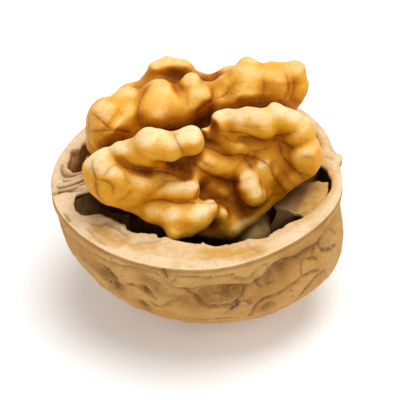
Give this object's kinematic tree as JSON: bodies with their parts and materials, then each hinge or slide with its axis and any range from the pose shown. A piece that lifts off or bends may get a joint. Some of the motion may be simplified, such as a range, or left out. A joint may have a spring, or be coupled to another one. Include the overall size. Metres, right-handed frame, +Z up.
{
  "type": "opened walnut",
  "caption": "Half of a woody nut shell holding a whole wrinkled kernel and a torn papery partition, resting on the shell's round base.",
  "frame": {"origin": "middle of the small flat spot under the shell that it rests on", "axes": "+Z up out of the open side, +X from the nut's blunt end to its pointed tip"},
  "size_m": [0.0405, 0.0392, 0.0318],
  "materials": {
    "shell": "matt tan shell with a paler broken rim",
    "kernel": "satin golden seed skin with brown veins",
    "partition": "matt papery brown"
  },
  "bodies": {
    "root": {"shell": "shell", "kernel": "kernel", "partition": "partition"}
  },
  "joints": []
}
